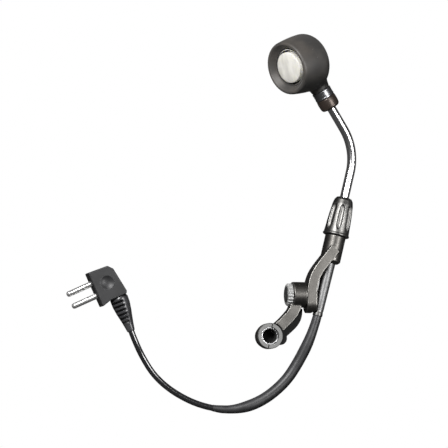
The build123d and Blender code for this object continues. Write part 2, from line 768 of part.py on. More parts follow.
# Ribbed boot from the plug to the cord
boot_length = (Vector(*CORD_ROUTE[-1]) - BOOT.origin).length
with BuildPart() as plug_boot:
    turn(BOOT, [(0, 0), *BOOT_SIDE, (BOOT_END_R, boot_length), (0, boot_length)])
    pitch = (BOOT_SLOTS_END - 2.2) / BOOT_RINGS
    for i in range(BOOT_RINGS):
        low = 2.2 + i * pitch
        ring(BOOT, 2.8, 8.0, low, low + 0.45 * pitch, Mode.SUBTRACT)
finish("plug_boot", plug_boot)
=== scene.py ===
"""Examination lamp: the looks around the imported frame, an add-on that is run as a script."""

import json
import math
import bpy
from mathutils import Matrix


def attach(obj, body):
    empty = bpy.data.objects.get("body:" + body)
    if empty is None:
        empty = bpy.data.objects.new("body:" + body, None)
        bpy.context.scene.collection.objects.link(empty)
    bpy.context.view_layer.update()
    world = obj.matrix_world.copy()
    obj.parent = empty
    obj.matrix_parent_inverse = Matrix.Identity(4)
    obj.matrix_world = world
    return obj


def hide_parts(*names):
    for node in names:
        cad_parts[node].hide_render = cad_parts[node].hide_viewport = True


bl_info = {
    "name": "Examination lamp",
    "version": (1, 0, 0),
    "blender": (4, 5, 0),
    "location": "3D View > Sidebar > Lamp",
    "description": "Makes the visible pieces of a small clamp-on examination lamp on its frame",
    "category": "Object",
}

import bmesh
import bpy
from mathutils import Matrix, Vector

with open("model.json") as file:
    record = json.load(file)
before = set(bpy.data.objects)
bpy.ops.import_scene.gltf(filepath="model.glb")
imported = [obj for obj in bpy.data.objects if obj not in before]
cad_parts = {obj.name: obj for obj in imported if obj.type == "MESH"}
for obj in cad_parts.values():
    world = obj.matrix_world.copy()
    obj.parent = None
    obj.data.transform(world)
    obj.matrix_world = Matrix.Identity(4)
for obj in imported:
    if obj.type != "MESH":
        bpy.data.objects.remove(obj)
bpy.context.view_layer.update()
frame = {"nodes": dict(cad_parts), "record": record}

MM = 0.001
UP = Vector((0, 0, 1))
SHARP_EDGE = math.radians(40)
ON_AXIS = 1e-6

# ------------------------------------------------------------------ places, in millimetres
TUBE_FOOT = Vector((32.3, 13.3, 8.8))
TUBE_LEAN = 13.4
TUBE_CORNER = 113.3
TUBE_BEND = 36.0
BEND_STEPS = 40
END_STEPS = 16
HEAD_MIDDLE = Vector((18.6, 177.3, 20.0))
HEAD_HEADING = 200.6
HEAD_RISE = 28.0
LENS_SHOULDER = 10.9
LENS_RISE = 1.3
NECK_BEHIND = 4.2
TUBE_TOP = 15.2
NUT_TURN = -10
KNUCKLE_MIDDLE = Vector((0.0, 27.1, 8.8))
PLUG_CORNER = Vector((-120.0, 39.3, 0.0))
PLUG_ALONG = Vector((0.4148, -0.9099, 0.0))
PLUG_THICK = 12.6
PINS_ALONG = (7.5, 15.9)
BOOT_BASE = 22.6
BOOT_DEPTH = 12.9

CORD_ROUTE = [
    (32.3, 13.3, 8.8),
    (28.7, 0.8, 8.4),
    (20.8, -16.1, 5.0),
    (11.6, -30.3, 3.8),
    (-5.0, -43.2, 3.7),
    (-24.5, -48.6, 3.2),
    (-44.5, -45.3, 2.2),
    (-62.2, -36.7, 2.1),
    (-74.8, -26.0, 2.1),
    (-82.7, -13.8, 3.0),
    (-88.0, -3.8, 5.9),
    (-90.7, 2.9, 6.3),
]


def heading(angle, rise=0.0):
    """The unit vector with that heading from +X and that rise above the table, in degrees."""
    flat = math.cos(math.radians(rise))
    turn = math.radians(angle)
    return Vector((flat * math.cos(turn), flat * math.sin(turn), math.sin(math.radians(rise))))


def place_at(origin, across, along):
    """The matrix that puts a piece made about +Z, in millimetres, at its place in metres."""
    z = Vector(along).normalized()
    x = (Vector(across) - z * Vector(across).dot(z)).normalized()
    turn = Matrix((x, z.cross(x), z)).transposed().to_4x4()
    return Matrix.Scale(MM, 4) @ Matrix.Translation(origin) @ turn


TUBE_WAY = heading(90 - TUBE_LEAN)
HEAD_WAY = heading(HEAD_HEADING, HEAD_RISE)
CORNER = TUBE_FOOT + TUBE_WAY * TUBE_CORNER
NECK_START = HEAD_MIDDLE - HEAD_WAY * NECK_BEHIND
NECK_WAY = (CORNER - NECK_START).normalized()
PLUG_BACK = UP.cross(PLUG_ALONG)
BOOT_START = PLUG_CORNER + PLUG_ALONG * BOOT_BASE + PLUG_BACK * BOOT_DEPTH + UP * PLUG_THICK / 2

TUBE = place_at(TUBE_FOOT, UP, TUBE_WAY)
HEAD = place_at(HEAD_MIDDLE, UP.cross(HEAD_WAY), HEAD_WAY)
NECK = place_at(NECK_START, UP.cross(NECK_WAY), NECK_WAY)
KNUCKLE = place_at(KNUCKLE_MIDDLE, (0, 1, 0), (1, 0, 0))
RING = place_at((0, 0, 0), (1, 0, 0), UP)
PLUG = place_at(PLUG_CORNER, PLUG_ALONG, UP)
BOOT = place_at(BOOT_START, UP, Vector(CORD_ROUTE[-1]) - BOOT_START)
BOOT_SLOTS = (1.4, 18.0)
BOOT_SLOTS_FACING = 42
BOOT_LENGTH = (Vector(CORD_ROUTE[-1]) - BOOT_START).length


def slot_colour(slot):
    """The base colour that the record gives a material slot."""
    for row in frame["record"]["materials"]:
        if row["slot"] == slot:
            return tuple(row["base_color"][:3])
    raise ValueError(f"the record has no slot {slot}")


# ------------------------------------------------------------------ values a user would change
def length_value(name, description, default):
    """A length in millimetres."""
    return bpy.props.FloatProperty(name=name, description=description, default=default, min=0.01)


def colour_value(name, description, default):
    """A colour swatch."""
    return bpy.props.FloatVectorProperty(
        name=name, description=description, default=default, size=3, min=0, max=1, subtype="COLOR"
    )


class LampSizes(bpy.types.PropertyGroup):
    """Sizes of the lamp's visible pieces, in millimetres."""

    cord_diameter: length_value("Cord diameter", "Outside diameter of the cord", 4.0)
    sleeve_radius: length_value("Sleeve radius", "Outside radius of the cord's sleeve", 3.7)
    sleeve_length: length_value("Sleeve length", "Length of the sleeve along the cord", 102.0)
    tube_radius: length_value("Tube radius", "Outside radius of the bent tube", 3.0)
    flute_depth: length_value("Flute depth", "Depth of the lock nut's flutes", 1.35)
    flutes: bpy.props.IntProperty(
        name="Flutes", description="Number of flutes round the lock nut", default=8, min=3
    )
    knob_ribs: bpy.props.IntProperty(
        name="Knob ribs", description="Number of ribs round the knob", default=20, min=6
    )
    grip_teeth: bpy.props.IntProperty(
        name="Grip teeth", description="Number of teeth in the clamp ring", default=18, min=6
    )
    boot_slots: bpy.props.IntProperty(
        name="Boot slots", description="Number of slots across the plug's boot", default=6, min=1
    )


class LampColours(bpy.types.PropertyGroup):
    """Colours of the lamp's finishes."""

    rubber: colour_value("Rubber", "Hood rubber", slot_colour("hood_rubber"))
    lens: colour_value("Lens", "Frosted lens", slot_colour("lens"))
    collar: colour_value("Collar", "Black enamel of the neck collar", slot_colour("collar"))
    cap: colour_value("Cap", "Glossy end cap", slot_colour("cap"))
    chrome: colour_value("Chrome", "Polished plating of the tube", slot_colour("tube"))
    nickel: colour_value("Nickel", "Satin plating of the lock nut", slot_colour("nut"))
    casting: colour_value("Casting", "Cast metal of bracket and link", slot_colour("cast_metal"))
    cord: colour_value("Cord", "Cord sheath", slot_colour("cord"))
    plug: colour_value("Plug", "Plug moulding", slot_colour("plug"))


def sizes():
    """The sizes now set in the scene."""
    return bpy.context.scene.lamp_sizes


def colours():
    """The colours now set in the scene."""
    return bpy.context.scene.lamp_colours


# ------------------------------------------------------------------ mesh making
def put(name, mesh):
    """An object at the origin that shows a mesh, smooth except across sharp edges."""
    piece = bpy.data.objects.new(name, mesh)
    bpy.context.scene.collection.objects.link(piece)
    mesh.shade_smooth()
    mesh.set_sharp_from_angle(angle=SHARP_EDGE)
    return piece


def rounded(outline, radius, closed=False, steps=5):
    """The outline with its corners rounded, never by more than the sides beside them allow."""
    points = [Vector(point) for point in outline]
    count = len(points)
    result = []
    for i, corner in enumerate(points):
        if not closed and i in (0, count - 1):
            result.append(corner)
            continue
        before = points[i - 1] - corner
        after = points[(i + 1) % count] - corner
        half = before.angle(after) / 2
        reach = min(radius / math.tan(half), 0.45 * before.length, 0.45 * after.length)
        if math.pi / 2 - half < math.radians(4):
            result.append(corner)
            continue
        start = corner + before.normalized() * reach
        end = corner + after.normalized() * reach
        for k in range(steps + 1):
            t = k / steps
            result.append(start * (1 - t) ** 2 + corner * 2 * t * (1 - t) + end * t**2)
    return [tuple(point) for point in result]


def dense(outline, step):
    """The outline with points added so that none of its sides is longer than step."""
    result = []
    for a, b in zip(outline, outline[1:]):
        parts = max(1, math.ceil((Vector(b) - Vector(a)).length / step))
        result += [tuple(Vector(a).lerp(Vector(b), k / parts)) for k in range(parts)]
    return result + [outline[-1]]


def turned_mesh(name, outline, sides=96, closed=False):
    """A turned solid about +Z from an outline of (radius, height). An open one ends on the axis."""
    shape = bmesh.new()
    rings = []
    for radius, height in outline:
        if radius < ON_AXIS:
            rings.append([shape.verts.new((0, 0, height))])
            continue
        angles = [2 * math.pi * k / sides for k in range(sides)]
        rings.append(
            [shape.verts.new((radius * math.cos(a), radius * math.sin(a), height)) for a in angles]
        )
    pairs = list(zip(rings, rings[1:]))
    if closed:
        pairs.append((rings[-1], rings[0]))
    for low, high in pairs:
        for k in range(sides):
            following = (k + 1) % sides
            corners = [low[k % len(low)], low[following % len(low)]]
            corners += [high[following % len(high)], high[k % len(high)]]
            shape.faces.new(list(dict.fromkeys(corners)))
    bmesh.ops.recalc_face_normals(shape, faces=shape.faces)
    mesh = bpy.data.meshes.new(name)
    shape.to_mesh(mesh)
    shape.free()
    return mesh


def turned(name, place, outline, sides=96, closed=False, edge=0.15):
    """A turned piece in its place, with its corners rounded."""
    mesh = turned_mesh(name, rounded(outline, edge, closed), sides, closed)
    mesh.transform(place)
    return put(name, mesh)


def swept(name, path, radii, sides=40):
    """A closed tube along a path of points in metres, with a radius at each point."""
    shape = bmesh.new()
    tangents = []
    for i in range(len(path)):
        ahead = path[min(i + 1, len(path) - 1)]
        tangents.append((ahead - path[max(i - 1, 0)]).normalized())
    across = UP.cross(tangents[0]).normalized()
    rings = []
    for point, tangent, radius in zip(path, tangents, radii):
        across = (across - tangent * across.dot(tangent)).normalized()
        other = tangent.cross(across)
        ring = []
        for k in range(sides):
            angle = 2 * math.pi * k / sides
            offset = across * math.cos(angle) + other * math.sin(angle)
            ring.append(shape.verts.new(point + offset * radius))
        rings.append(ring)
    for low, high in zip(rings, rings[1:]):
        for k in range(sides):
            following = (k + 1) % sides
            shape.faces.new([low[k], low[following], high[following], high[k]])
    for ring, point in ((rings[0], path[0]), (rings[-1], path[-1])):
        inner = [shape.verts.new(point + (v.co - point) * 0.9) for v in ring]
        for k in range(sides):
            following = (k + 1) % sides
            shape.faces.new([ring[k], ring[following], inner[following], inner[k]])
        shape.faces.new(inner)
    bmesh.ops.recalc_face_normals(shape, faces=shape.faces)
    mesh = bpy.data.meshes.new(name)
    shape.to_mesh(mesh)
    shape.free()
    return put(name, mesh)


def made_plain(piece):
    """Replace a piece's mesh by what its modifiers make of it, and drop the modifiers."""
    bpy.context.view_layer.update()
    evaluated = piece.evaluated_get(bpy.context.evaluated_depsgraph_get())
    mesh = bpy.data.meshes.new_from_object(evaluated)
    piece.modifiers.clear()
    piece.data = mesh
    return piece


def moulded(name, node, voxel, passes):
    """A copy of a frame node with every edge softened, as moulding or casting leaves it."""
    mesh = frame["nodes"][node].data.copy()
    shape = bmesh.new()
    shape.from_mesh(mesh)
    bmesh.ops.remove_doubles(shape, verts=shape.verts, dist=1e-6)
    shape.to_mesh(mesh)
    shape.free()
    mesh.materials.clear()
    piece = bpy.data.objects.new(name, mesh)
    bpy.context.scene.collection.objects.link(piece)
    remesh = piece.modifiers.new("Blank", "REMESH")
    remesh.mode = "VOXEL"
    remesh.voxel_size = voxel * MM
    smooth = piece.modifiers.new("Softened", "SMOOTH")
    smooth.factor = 0.5
    smooth.iterations = passes
    made_plain(piece)
    piece.data.shade_smooth()
    return piece


# ------------------------------------------------------------------ geometry node trees
class Tree:
    """A small helper that adds nodes to a tree and wires them in one call."""

    def __init__(self, tree):
        self.tree = tree

    def add(self, kind, values=(), **settings):
        """A node of that kind; values are set or linked on its inputs in order."""
        made = self.tree.nodes.new(kind)
        for key, value in settings.items():
            setattr(made, key, value)
        pairs = values.items() if isinstance(values, dict) else enumerate(values)
        for key, value in pairs:
            if isinstance(value, bpy.types.NodeSocket):
                self.tree.links.new(value, made.inputs[key])
            elif value is not None:
                made.inputs[key].default_value = value
        return made

    def math(self, operation, *values):
        """The result of one step of arithmetic."""
        return self.add("ShaderNodeMath", values, operation=operation).outputs[0]


def geometry_tree(name, inputs):
    """An empty geometry tree with a geometry input, these inputs and a geometry output."""
    tree = bpy.data.node_groups.new(name, "GeometryNodeTree")
    tree.interface.new_socket("Geometry", in_out="INPUT", socket_type="NodeSocketGeometry")
    for label, kind in inputs:
        tree.interface.new_socket(label, in_out="INPUT", socket_type=f"NodeSocket{kind}")
    tree.interface.new_socket("Geometry", in_out="OUTPUT", socket_type="NodeSocketGeometry")
    helper = Tree(tree)
    entry = helper.add("NodeGroupInput")
    return helper, {socket.name: socket for socket in entry.outputs if socket.name}


def close_tree(helper, geometry, material):
    """End a tree in Realize Instances and Set Material."""
    real = helper.add("GeometryNodeRealizeInstances", [geometry]).outputs[0]
    dressed = helper.add("GeometryNodeSetMaterial", {"Geometry": real, "Material": material})
    helper.add("NodeGroupOutput", [dressed.outputs[0]])
    return helper.tree


def radial_parts(helper):
    """The sockets of a point's x, y, z, its distance from +Z and the unit vector away from +Z."""
    position = helper.add("GeometryNodeInputPosition").outputs[0]
    split = helper.add("ShaderNodeSeparateXYZ", [position])
    x, y, z = split.outputs
    flat = helper.add("ShaderNodeCombineXYZ", [x, y, 0.0]).outputs[0]
    away = helper.add("ShaderNodeVectorMath", [flat], operation="LENGTH").outputs["Value"]
    outward = helper.add("ShaderNodeVectorMath", [flat], operation="NORMALIZE").outputs[0]
    return x, y, z, away, outward


def press_in(helper, geometry, outward, depth):
    """Move points towards the axis by depth."""
    inward = helper.math("MULTIPLY", depth, -1.0)
    offset = helper.add("ShaderNodeVectorMath", {0: outward, "Scale": inward}, operation="SCALE")
    values = {"Geometry": geometry, "Offset": offset.outputs[0]}
    return helper.add("GeometryNodeSetPosition", values).outputs[0]


def flute_tree():
    """Hollows round a turned piece: count, half width, middle, half length, depth, least radius."""
    inputs = [("Count", "Int"), ("Half Width", "Float"), ("Middle", "Float")]
    inputs += [("Half Length", "Float"), ("Depth", "Float"), ("Least Radius", "Float")]
    inputs += [("Material", "Material")]
    helper, entry = geometry_tree("Flutes", inputs)
    x, y, z, away, outward = radial_parts(helper)
    sector = helper.math("DIVIDE", 2 * math.pi, entry["Count"])
    angle = helper.math("ARCTAN2", y, x)
    nearest = helper.math("ROUND", helper.math("DIVIDE", angle, sector))
    folded = helper.math("SUBTRACT", angle, helper.math("MULTIPLY", nearest, sector))
    across = helper.math("DIVIDE", helper.math("MULTIPLY", folded, away), entry["Half Width"])
    along = helper.math("DIVIDE", helper.math("SUBTRACT", z, entry["Middle"]), entry["Half Length"])
    left = helper.math("SUBTRACT", 1.0, helper.math("POWER", helper.math("ABSOLUTE", across), 2.0))
    left = helper.math("SUBTRACT", left, helper.math("POWER", helper.math("ABSOLUTE", along), 4.0))
    hollow = helper.math("POWER", helper.math("MAXIMUM", left, 0.0), 0.6)
    outside = helper.math("GREATER_THAN", away, entry["Least Radius"])
    depth = helper.math("MULTIPLY", helper.math("MULTIPLY", hollow, outside), entry["Depth"])
    pressed = press_in(helper, entry["Geometry"], outward, depth)
    return close_tree(helper, pressed, entry["Material"])


def slot_tree():
    """Slots across one side of a turned piece, down to its core."""
    inputs = [("Count", "Int"), ("Start", "Float"), ("Pitch", "Float"), ("Core Radius", "Float")]
    inputs += [("Facing", "Float"), ("Material", "Material")]
    helper, entry = geometry_tree("Slots", inputs)
    x, y, z, away, outward = radial_parts(helper)
    steps = helper.math("DIVIDE", helper.math("SUBTRACT", z, entry["Start"]), entry["Pitch"])
    wave = helper.math("FRACT", steps)
    distance = helper.math("ABSOLUTE", helper.math("SUBTRACT", wave, 0.5))
    open_slot = helper.add(
        "ShaderNodeMapRange", [distance, 0.20, 0.27, 1.0, 0.0], interpolation_type="SMOOTHSTEP"
    ).outputs[0]
    after = helper.math("GREATER_THAN", steps, 0.0)
    before = helper.math("LESS_THAN", steps, entry["Count"])
    turn = helper.math("SUBTRACT", helper.math("ARCTAN2", y, x), entry["Facing"])
    side = helper.math("COSINE", turn)
    facing = helper.add(
        "ShaderNodeMapRange", [side, 0.55, 0.75, 0.0, 1.0], interpolation_type="SMOOTHSTEP"
    ).outputs[0]
    share = helper.math("MULTIPLY", helper.math("MULTIPLY", open_slot, facing), after)
    share = helper.math("MULTIPLY", share, before)
    room = helper.math("MAXIMUM", helper.math("SUBTRACT", away, entry["Core Radius"]), 0.0)
    pressed = press_in(helper, entry["Geometry"], outward, helper.math("MULTIPLY", room, share))
    return close_tree(helper, pressed, entry["Material"])


def around_tree():
    """Copies of a piece set round +Z at a reach, each turned with its place."""
    inputs = [("Count", "Int"), ("Reach", "Float"), ("Height", "Float"), ("Material", "Material")]
    helper, entry = geometry_tree("Around", inputs)
    size = {"Vertices": entry["Count"], "Radius": entry["Reach"]}
    circle = helper.add("GeometryNodeMeshCircle", size)
    index = helper.add("GeometryNodeInputIndex").outputs[0]
    sector = helper.math("DIVIDE", 2 * math.pi, entry["Count"])
    turn = helper.add("ShaderNodeCombineXYZ", [0.0, 0.0, helper.math("MULTIPLY", index, sector)])
    spread = helper.add(
        "GeometryNodeInstanceOnPoints",
        {"Points": circle.outputs[0], "Instance": entry["Geometry"], "Rotation": turn.outputs[0]},
    )
    lift = helper.add("ShaderNodeCombineXYZ", [0.0, 0.0, entry["Height"]]).outputs[0]
    raised = helper.add(
        "GeometryNodeTranslateInstances", {"Instances": spread.outputs[0], "Translation": lift}
    )
    return close_tree(helper, raised.outputs[0], entry["Material"])


def shaped_by(piece, tree, values):
    """Run a piece's mesh through a geometry tree with these named inputs and keep the result."""
    modifier = piece.modifiers.new(tree.name, "NODES")
    modifier.node_group = tree
    for socket in tree.interface.items_tree:
        if socket.in_out == "INPUT" and socket.name in values:
            modifier[socket.identifier] = values[socket.name]
    return made_plain(piece)


# ------------------------------------------------------------------ finishes
def shader_of(name):
    """A new material, its tree helper and its main shader."""
    material = bpy.data.materials.new(name)
    material.use_nodes = True
    helper = Tree(material.node_tree)
    return material, helper, material.node_tree.nodes["Principled BSDF"]


def noise(helper, scale, detail=3.0, stretch=(1, 1, 1), turn=(0, 0, 0)):
    """The value of a noise pattern fixed to the piece; scale is in marks per metre."""
    where = helper.add("ShaderNodeTexCoord").outputs["Object"]
    spot = helper.add("ShaderNodeMapping", {"Vector": where, "Rotation": turn, "Scale": stretch})
    values = {"Vector": spot.outputs[0], "Scale": scale, "Detail": detail}
    return helper.add("ShaderNodeTexNoise", values).outputs["Fac"]


def spread_over(helper, value, low, high, out_low, out_high):
    """A value mapped from one range to another."""
    return helper.add("ShaderNodeMapRange", [value, low, high, out_low, out_high]).outputs[0]


MIX_COLOURS = (6, 7)  # the two colour inputs of a mix node


def blend_of(helper, share, first, second):
    """Two colours mixed by a share; each is a colour of three numbers or a socket."""
    mix = helper.add("ShaderNodeMix", data_type="RGBA")
    helper.tree.links.new(share, mix.inputs["Factor"])
    for key, value in zip(MIX_COLOURS, (first, second)):
        if isinstance(value, bpy.types.NodeSocket):
            helper.tree.links.new(value, mix.inputs[key])
        else:
            mix.inputs[key].default_value = (*value, 1)
    return mix.outputs[2]


def grain(helper, shader, height, depth, strength=1.0):
    """Surface relief of that depth in metres."""
    bump = helper.add("ShaderNodeBump", {"Height": height, "Distance": depth, "Strength": strength})
    helper.tree.links.new(bump.outputs[0], shader.inputs["Normal"])


def toned(colour, factor):
    """A colour made lighter or darker."""
    return tuple(min(1.0, part * factor) for part in colour)


def patchy(name, colour, lighter, rough, patch=120, fine=2500, relief=1e-5, metal=0.0, **fixed):
    """A finish whose colour and roughness wander in patches, with a fine grain."""
    material, helper, shader = shader_of(name)
    shader.inputs["Metallic"].default_value = metal
    for key, value in fixed.items():
        shader.inputs[key.replace("_", " ")].default_value = value
    wander = spread_over(helper, noise(helper, patch), 0.35, 0.65, 0.0, 1.0)
    tint = blend_of(helper, wander, colour, toned(colour, lighter))
    helper.tree.links.new(tint, shader.inputs["Base Color"])
    fine_value = noise(helper, fine, 4.0)
    gloss = spread_over(helper, fine_value, 0.3, 0.7, rough[0], rough[1])
    helper.tree.links.new(gloss, shader.inputs["Roughness"])
    grain(helper, shader, fine_value, relief)
    return material


def hood_rubber():
    """Matte black rubber with a brownish bloom and a little dust."""
    material, helper, shader = shader_of("Hood rubber")
    base = colours().rubber
    bloom = spread_over(helper, noise(helper, 70, 4.0), 0.35, 0.7, 0.0, 1.0)
    tint = blend_of(helper, bloom, base, (base[0] * 1.9, base[1] * 1.75, base[2] * 1.6))
    dust = spread_over(helper, noise(helper, 900, 1.0), 0.795, 0.81, 0.0, 0.7)
    dusty = blend_of(helper, dust, tint, (0.5, 0.49, 0.46))
    helper.tree.links.new(dusty, shader.inputs["Base Color"])
    rough = spread_over(helper, noise(helper, 160, 3.0), 0.3, 0.7, 0.42, 0.58)
    helper.tree.links.new(rough, shader.inputs["Roughness"])
    shader.inputs["Specular IOR Level"].default_value = 0.6
    shader.inputs["Sheen Weight"].default_value = 0.1
    grain(helper, shader, noise(helper, 3000, 4.0), 2e-5)
    return material


def frosted_lens():
    """Cream frosted glass with faint streaks."""
    material, helper, shader = shader_of("Frosted lens")
    base = colours().lens
    streaks = noise(helper, 260, 2.0, stretch=(1.0, 0.18, 1.0), turn=(0, 0, math.radians(-20)))
    share = spread_over(helper, streaks, 0.35, 0.65, 0.0, 1.0)
    tint = blend_of(helper, share, toned(base, 0.86), toned(base, 1.05))
    helper.tree.links.new(tint, shader.inputs["Base Color"])
    rough = spread_over(helper, noise(helper, 1500, 3.0), 0.3, 0.7, 0.28, 0.45)
    helper.tree.links.new(rough, shader.inputs["Roughness"])
    shader.inputs["Subsurface Weight"].default_value = 0.25
    shader.inputs["Subsurface Radius"].default_value = (0.004, 0.004, 0.003)
    shader.inputs["Coat Weight"].default_value = 0.3
    grain(helper, shader, noise(helper, 2200, 3.0), 1.5e-5)
    return material


def drawn_metal(name, colour, rough, along, relief=4e-6):
    """Bright metal with fine drawing lines that run along the given turn about +Z."""
    material, helper, shader = shader_of(name)
    shader.inputs["Metallic"].default_value = 1.0
    lines = noise(helper, 2600, 3.0, stretch=(1.0, 0.02, 1.0), turn=(0, 0, along))
    patches = spread_over(helper, noise(helper, 180), 0.35, 0.65, 0.0, 1.0)
    tint = blend_of(helper, patches, toned(colour, 0.93), colour)
    helper.tree.links.new(tint, shader.inputs["Base Color"])
    gloss = spread_over(helper, lines, 0.3, 0.7, rough[0], rough[1])
    helper.tree.links.new(gloss, shader.inputs["Roughness"])
    grain(helper, shader, lines, relief)
    return material


def cast_metal(name, colour, edge_highlight, rough=(0.34, 0.5)):
    """Satin cast metal, with a painted highlight as lighter colour on its sharp edges and a slightly
    orange-peel skin.
    """
    material, helper, shader = shader_of(name)
    shader.inputs["Metallic"].default_value = 1.0
    # Lighter colour on sharp convex edges, found by pointiness, is a painted edge highlight.
    ridge = helper.add("ShaderNodeNewGeometry").outputs["Pointiness"]
    edge = spread_over(helper, ridge, 0.505, 0.56, 0.0, 1.0)
    patches = spread_over(helper, noise(helper, 130, 4.0), 0.3, 0.7, 0.0, 1.0)
    skin = blend_of(helper, patches, toned(colour, 0.8), toned(colour, 1.12))
    tint = blend_of(helper, edge, skin, edge_highlight)
    helper.tree.links.new(tint, shader.inputs["Base Color"])
    fine = noise(helper, 1400, 4.0)
    gloss = spread_over(helper, fine, 0.3, 0.7, rough[0], rough[1])
    helper.tree.links.new(gloss, shader.inputs["Roughness"])
    grain(helper, shader, fine, 5e-6)
    return material


FINISHES = {}


def finish(slot):
    """The finish of a record slot, made once."""
    if slot not in FINISHES:
        FINISHES[slot] = FINISH_MAKERS[slot]()
    return FINISHES[slot]


def plain_maker(slot, tone=1.0, **settings):
    """A maker of a patchy finish in the record's colour, made darker or lighter by tone."""
    name = slot.replace("_", " ").capitalize()
    return lambda: patchy(name, toned(slot_colour(slot), tone), **settings)


FINISH_MAKERS = {
    "hood_rubber": hood_rubber,
    "lens": frosted_lens,
    "lamp_aluminium": plain_maker("lamp_aluminium", lighter=1.15, rough=(0.25, 0.4), metal=1.0),
    "board": plain_maker("board", lighter=1.5, rough=(0.3, 0.45)),
    "fixings": plain_maker("fixings", lighter=1.2, rough=(0.22, 0.36), metal=1.0),
    "light_dome": plain_maker("light_dome", lighter=1.05, rough=(0.08, 0.16), patch=600),
    "reflector": plain_maker("reflector", lighter=1.05, rough=(0.04, 0.1), metal=1.0),
    "gasket": plain_maker("gasket", 0.3, lighter=1.3, rough=(0.6, 0.75), Specular_IOR_Level=0.1),
    "bezel": plain_maker("bezel", lighter=1.05, rough=(0.06, 0.14), metal=1.0),
    "collar": lambda: patchy(
        "Collar", toned(colours().collar, 4.0), lighter=1.3, rough=(0.28, 0.38), metal=0.9
    ),
    "cap": lambda: patchy(
        "Cap", toned(colours().cap, 1.1), lighter=1.5, rough=(0.3, 0.42), metal=0.5
    ),
    "washer": plain_maker("washer", lighter=1.1, rough=(0.3, 0.45)),
    "tube_satin": lambda: drawn_metal(
        "Tube sleeve", toned(slot_colour("tube_satin"), 0.42), (0.42, 0.55), math.radians(TUBE_LEAN)
    ),
    "tube": lambda: drawn_metal("Tube", colours().chrome, (0.17, 0.26), math.radians(TUBE_LEAN)),
    # The third colour is the painted highlight on the nut's sharp edges.
    "nut": lambda: cast_metal(
        "Nut", toned(colours().nickel, 0.3), (0.36, 0.36, 0.35), (0.34, 0.46)
    ),
    "collet": plain_maker("collet", lighter=1.2, rough=(0.2, 0.35), metal=1.0),
    # The third colour is the painted highlight on the casting's sharp edges.
    "cast_metal": lambda: cast_metal("Casting", toned(colours().casting, 0.25), (0.4, 0.39, 0.37)),
    # Near black: the back plate is a real part whose colour also stands for painted shade along the
    # link's lower side.
    "dark_plate": plain_maker(
        "dark_plate", 0.2, lighter=1.7, rough=(0.45, 0.6), Specular_IOR_Level=0.15
    ),
    "liner": plain_maker("liner", 0.26, lighter=1.25, rough=(0.45, 0.6), metal=1.0, relief=6e-6),
    "knob": plain_maker("knob", 0.7, lighter=1.15, rough=(0.25, 0.4), metal=0.35),
    "cord": lambda: patchy(
        "Cord",
        toned(colours().cord, 0.35),
        lighter=1.5,
        rough=(0.16, 0.24),
        patch=260,
        Specular_IOR_Level=0.9,
        Coat_Weight=0.8,
    ),
    "sleeve": plain_maker("sleeve", 0.55, lighter=1.7, rough=(0.36, 0.5), patch=200, relief=1.5e-5),
    "lead": plain_maker("lead", lighter=1.2, rough=(0.3, 0.4)),
    "plug": lambda: patchy(
        "Plug", toned(colours().plug, 0.45), lighter=1.9, rough=(0.4, 0.52), relief=5e-6
    ),
    "boot": plain_maker("boot", 1.3, lighter=1.5, rough=(0.26, 0.36), Coat_Weight=0.35),
    "pins": plain_maker("pins", 0.85, lighter=1.08, rough=(0.2, 0.3), metal=0.8),
}


def dress(piece, slot):
    """Give a piece the finish of the record slot it stands for."""
    piece.data.materials.clear()
    piece.data.materials.append(finish(slot))
    return piece


def settle(piece, slot, body, *nodes):
    """Dress a finished piece, let it ride on its body and stand for its frame nodes."""
    dress(piece, slot)
    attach(piece, body)
    if nodes:
        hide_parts(*nodes)
    return piece


def dress_nodes(rows):
    """Give frame nodes that stay their finishes; rows pair a node with a slot."""
    for node, slot in rows:
        shown = frame["nodes"][node]
        for place in shown.material_slots:
            place.material = finish(slot)


# ------------------------------------------------------------------ stage
CAMERA_TARGET = Vector((-0.0300, 0.0726, 0.009))
CAMERA_RIGHT = Vector((0.978, 0.0, 0.209))
CAMERA_UP = Vector((-0.018, 0.996, 0.082))
CAMERA_BACK = 1.8
VIEW_WIDTH = 0.2912
SENSOR = 36.0
FLOOR_REACH = 3.0
FLOOR_DROP = 0.0002
SKY_STRENGTH = 0.06
LIGHTS_AIM = Vector((0, 0.06, 0))


def studio_light(name, spot, size, power):
    """A new square soft light at a spot, aimed at the lamp."""
    data = bpy.data.lights.new(name, "AREA")
    data.size = size
    data.energy = power
    light = bpy.data.objects.new(name, data)
    bpy.context.scene.collection.objects.link(light)
    light.location = spot
    light.rotation_euler = (LIGHTS_AIM - Vector(spot)).to_track_quat("-Z", "Y").to_euler()
    return light


